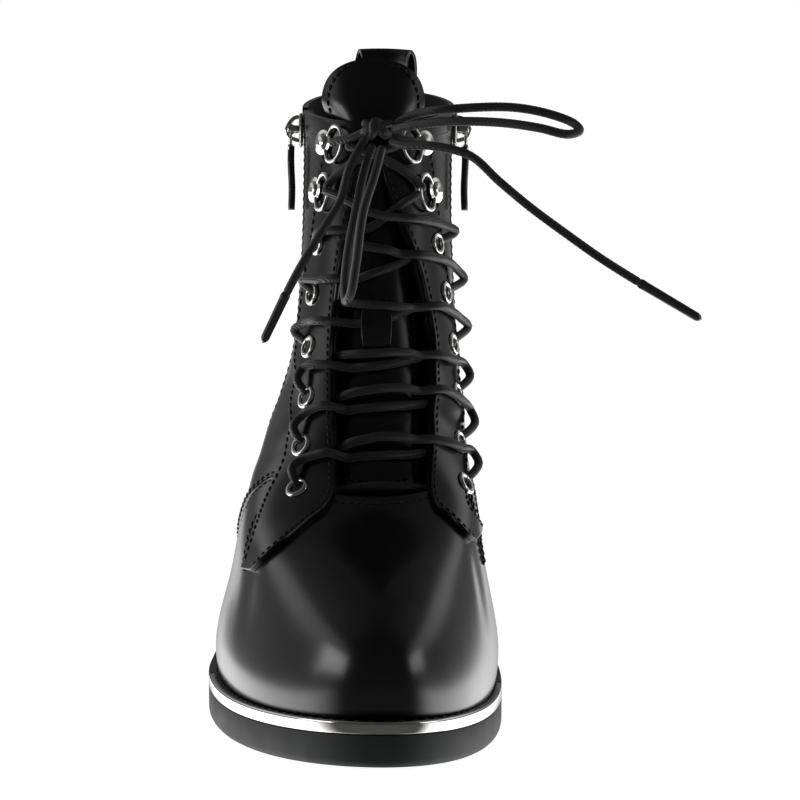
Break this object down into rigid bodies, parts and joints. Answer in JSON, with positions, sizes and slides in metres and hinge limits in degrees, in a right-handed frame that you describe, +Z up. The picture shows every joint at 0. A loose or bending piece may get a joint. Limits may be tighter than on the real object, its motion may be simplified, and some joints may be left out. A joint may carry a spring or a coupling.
{
  "type": "lace-up ankle boot",
  "caption": "Black leather lace-up ankle boot with a thick rubber sole, a bright metal strip round the toe, a bow-tied lace and a zip on each side; the right shoe of a pair.",
  "frame": {"origin": "on the floor under the middle of the sole's length and width", "axes": "+Z up, toe towards -Y, heel towards +Y, inner (medial) side of this right shoe towards +X"},
  "size_m": [0.1676, 0.27, 0.221],
  "materials": {
    "leather": "smooth black leather, half gloss",
    "lining": "matt dark lining leather",
    "sole_rubber": "matt charcoal rubber",
    "welt_black": "stitched black welt",
    "bright_steel": "polished steel of the rand, eyelets, hooks and sliders",
    "dark_metal": "black tips of the lace",
    "webbing": "woven black tape",
    "lace": "round waxed black cord"
  },
  "bodies": {
    "boot": {"outsole": "sole_rubber", "heel": "sole_rubber", "welt": "welt_black", "toe_rand": "bright_steel", "insole": "lining", "upper": "leather", "tongue": "leather", "lace_keeper": "leather", "pull_loop": "leather", "eyestay_lateral": "leather", "eyestay_medial": "leather", "zip_lateral": "webbing", "zip_medial": "webbing", "slider_lateral": "bright_steel", "slider_medial": "bright_steel", "eyelet_lateral_1": "bright_steel", "eyelet_lateral_2": "bright_steel", "eyelet_lateral_3": "bright_steel", "eyelet_lateral_4": "bright_steel", "eyelet_lateral_5": "bright_steel", "eyelet_lateral_6": "bright_steel", "hook_lateral_7": "bright_steel", "hook_lateral_8": "bright_steel", "eyelet_medial_1": "bright_steel", "eyelet_medial_2": "bright_steel", "eyelet_medial_3": "bright_steel", "eyelet_medial_4": "bright_steel", "eyelet_medial_5": "bright_steel", "eyelet_medial_6": "bright_steel", "hook_medial_7": "bright_steel", "hook_medial_8": "bright_steel", "lace_crossings": "lace", "lace_knot": "lace", "lace_loop_right": "lace", "lace_loop_down": "lace", "lace_end_right": "lace", "lace_end_left": "lace", "aglet_right": "dark_metal", "aglet_left": "dark_metal"},
    "lateral_pull": {"pull_lateral": "leather"},
    "medial_pull": {"pull_medial": "leather"}
  },
  "joints": [
    {"name": "lateral_pull_hinge", "type": "hinge", "parent": "boot", "child": "lateral_pull", "pos_m": [-0.02369, 0.0525, 0.19205], "axis": [-0.0705, 0.9788, -0.1921], "range_deg": [0, 165]},
    {"name": "medial_pull_hinge", "type": "hinge", "parent": "boot", "child": "medial_pull", "pos_m": [0.03918, 0.0525, 0.19189], "axis": [-0.0639, -0.9789, 0.1941], "range_deg": [0, 165]}
  ]
}
